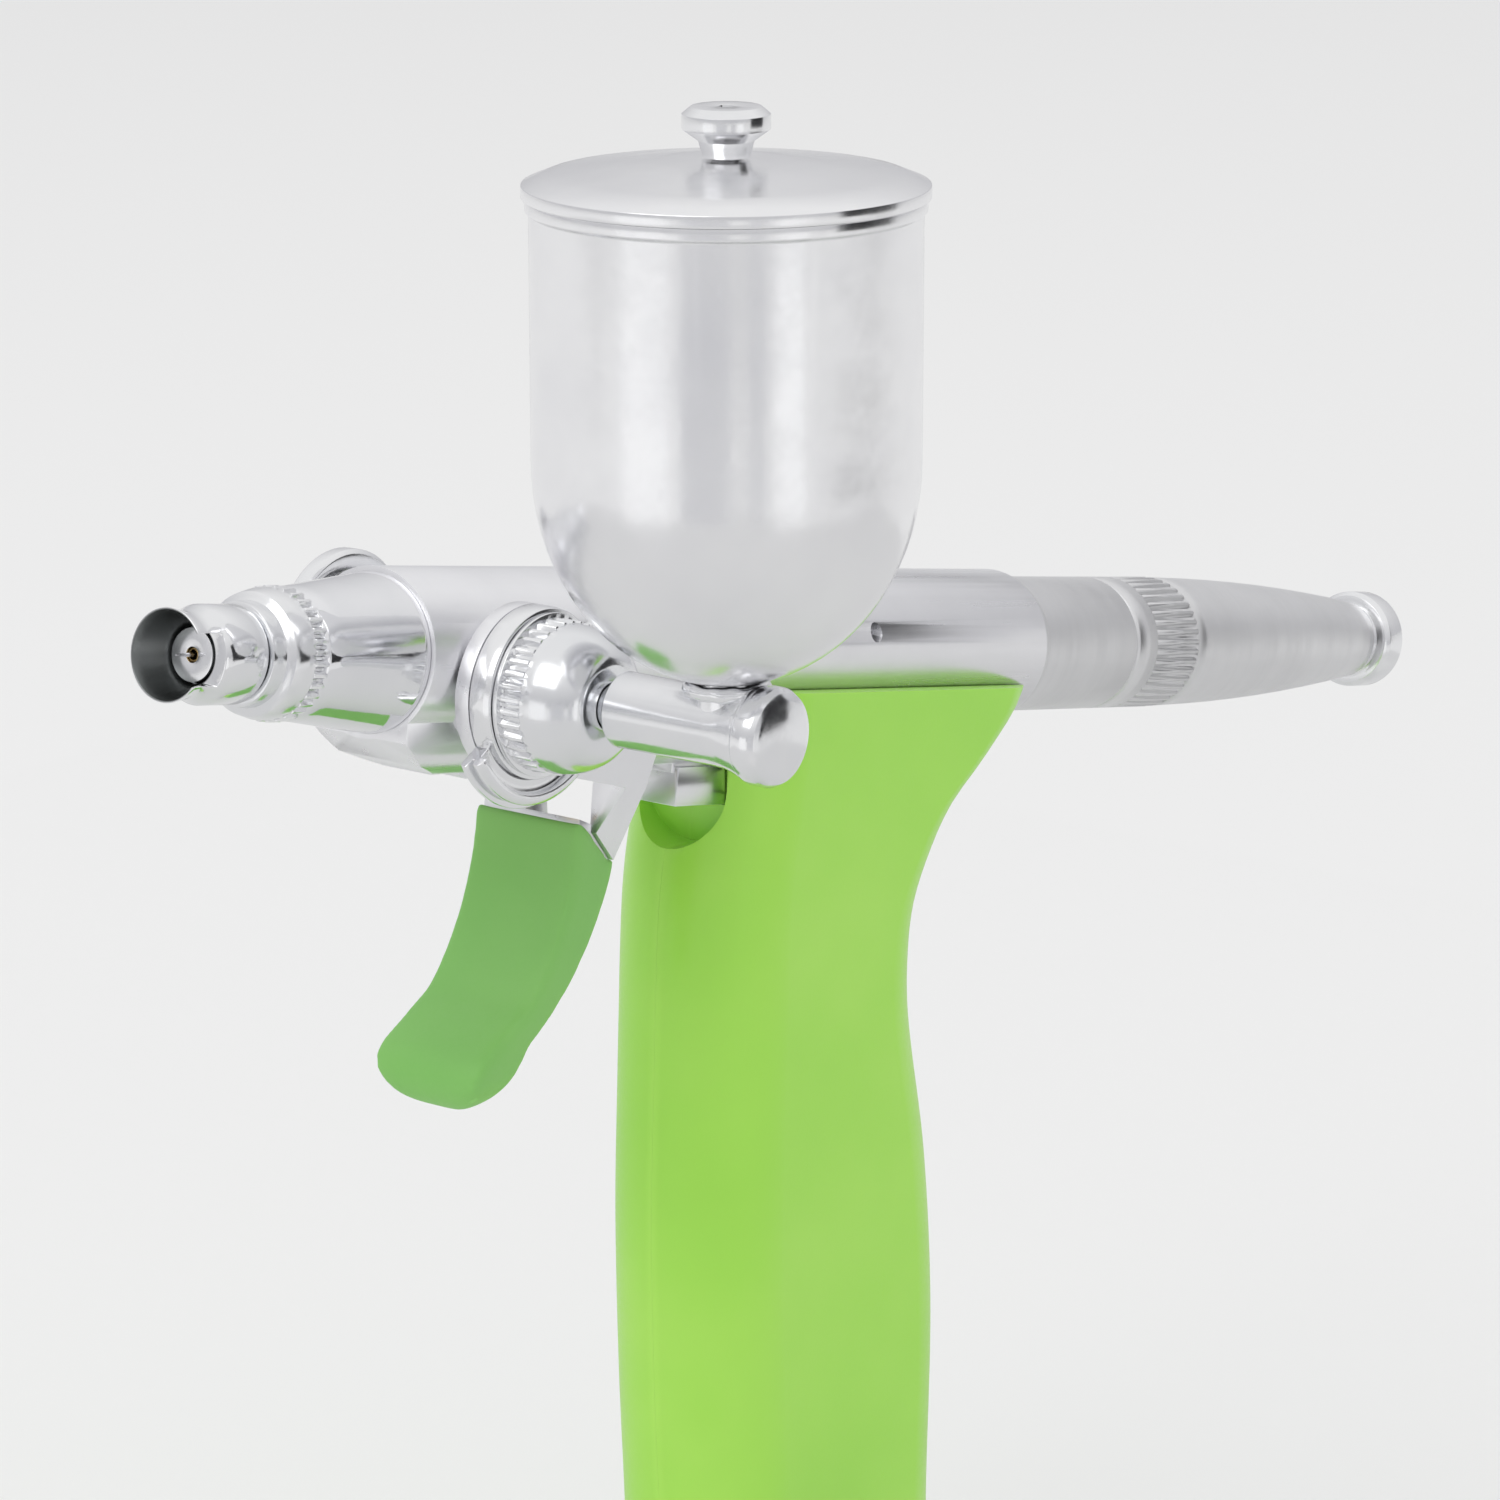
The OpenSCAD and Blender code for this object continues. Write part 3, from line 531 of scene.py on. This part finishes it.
# ---- floor and light ----
def stage_plane(name, centre, size_x, size_y, normal, mat):
    bm = bmesh.new()
    bmesh.ops.create_grid(bm, x_segments=2, y_segments=2, size=0.5)
    me = bpy.data.meshes.new(name)
    bm.to_mesh(me)
    bm.free()
    ob = bpy.data.objects.new(name, me)
    bpy.context.scene.collection.objects.link(ob)
    ob.rotation_mode = "QUATERNION"
    ob.rotation_quaternion = Vector(normal).to_track_quat("Z", "Y")
    ob.scale = (size_x, size_y, 1)
    ob.location = centre
    me.materials.append(mat)
    return ob


def plain(name, colour):
    m = Mat(name, Roughness=0.9)
    tone = m.ramp(m.noise(3.0, 2, 0.5), [(0.3, [c * 0.985 for c in colour]), (0.7, colour)])
    return m.use(Base_Color=tone)


FLOOR_Z, FLOOR_SIDE = -0.0006, 24
stage_plane("floor", (0, 0, FLOOR_Z), FLOOR_SIDE, FLOOR_SIDE, (0, 0, 1),
            plain("floor_pale", (0.86, 0.86, 0.857)))

world = bpy.data.worlds.new("studio")
bpy.context.scene.world = world
world.use_nodes = True
wt = world.node_tree
sky = wt.nodes.new("ShaderNodeTexCoord")
parts = wt.nodes.new("ShaderNodeSeparateXYZ")
wt.links.new(sky.outputs["Generated"], parts.inputs["Vector"])
tone = wt.nodes.new("ShaderNodeValToRGB")
tone.color_ramp.elements[0].position = 0.05
tone.color_ramp.elements[0].color = (0.60, 0.60, 0.62, 1)
tone.color_ramp.elements[1].position = 0.75
tone.color_ramp.elements[1].color = (0.95, 0.95, 0.95, 1)
wt.links.new(parts.outputs["Z"], tone.inputs["Fac"])
wt.links.new(tone.outputs["Color"], wt.nodes["Background"].inputs["Color"])
wt.nodes["Background"].inputs["Strength"].default_value = 0.95

# the photo's view: the point looked at, the way back to the camera, the picture's right, the way back level
LOOK = Vector((-0.00247, 0.0, 0.09079))
BACK = Vector((-0.7728, -0.5815, 0.2539))
RIGHT = Vector((0.6013, -0.7990, 0.0))
SIDE = Vector((-0.7990, -0.6013, 0.0))


def soft_box(name, offset, size, power):
    """An area light at an offset from LOOK, turned to it."""
    light = bpy.data.lights.new(name, "AREA")
    light.shape = "RECTANGLE"
    light.size, light.size_y = size
    light.energy = power
    ob = bpy.data.objects.new(name, light)
    bpy.context.scene.collection.objects.link(ob)
    ob.location = LOOK + Vector(offset)
    ob.rotation_mode = "QUATERNION"
    ob.rotation_quaternion = Vector(offset).to_track_quat("Z", "Y")
    return ob


soft_box("key", SIDE * 0.9 - RIGHT * 0.7 + Vector((0, 0, 1.1)), (1.1, 0.9), 3.6)
overhead = soft_box("top", Vector((0.2, 0.1, 1.5)), (1.3, 1.3), 3.0)
overhead.visible_glossy = False


# ---- cards that only mirrors see: they give the chrome its bands ----
CARD_TOP, CARD_REACH = 0.13, 0.30


def mirror_only(ob):
    ob.visible_camera = False
    ob.visible_diffuse = False
    ob.visible_shadow = False
    ob.visible_transmission = False


def card(name, azimuth, width, mat, centre=CUP, top=CARD_TOP, reach=CARD_REACH):
    """An upright card standing on z = 0; azimuth is turned from the camera's side."""
    a = math.radians(azimuth)
    out = SIDE * math.cos(a) + RIGHT * math.sin(a)
    place = centre + out * reach
    place.z = top / 2
    mirror_only(stage_plane(name, place, width, top, -out, mat))


dark = plain("card_dark", (0.02, 0.02, 0.022))
grey = plain("card_grey", (0.80, 0.80, 0.82))
white = plain("card_white", (0.9, 0.9, 0.9))
white.node_tree.nodes["Principled BSDF"].inputs["Emission Color"].default_value = (1, 1, 1, 1)
white.node_tree.nodes["Principled BSDF"].inputs["Emission Strength"].default_value = 0.28
card("band_a", -12, 0.15, grey)
card("band_b", 18, 0.052, grey)
card("glow_a", -48, 0.15, white)
card("glow_b", 37, 0.09, white)
card("band_c", 84, 0.54, dark, LOOK, 0.42, 0.7)
FLOOR_CARD_Z, FLOOR_CARD_SIDE = 0.0004, 0.62
mirror_only(stage_plane("floor_card", (CUP.x, CUP.y, FLOOR_CARD_Z), FLOOR_CARD_SIDE, FLOOR_CARD_SIDE,
                        (0, 0, 1), plain("card_floor", (0.70, 0.70, 0.70))))

# ---- camera ----
DISTANCE = 0.4263
cam_data = bpy.data.cameras.new("camera")
cam = bpy.data.objects.new("camera", cam_data)
bpy.context.scene.collection.objects.link(cam)
cam.location = LOOK + BACK * DISTANCE
cam.rotation_mode = "QUATERNION"
cam.rotation_quaternion = BACK.to_track_quat("Z", "Y")
cam_data.sensor_width = 36
cam_data.lens = 132.72
cam_data.clip_start = 0.01
cam_data.clip_end = 60
bpy.context.scene.camera = cam
bpy.context.scene.view_settings.view_transform = "Standard"
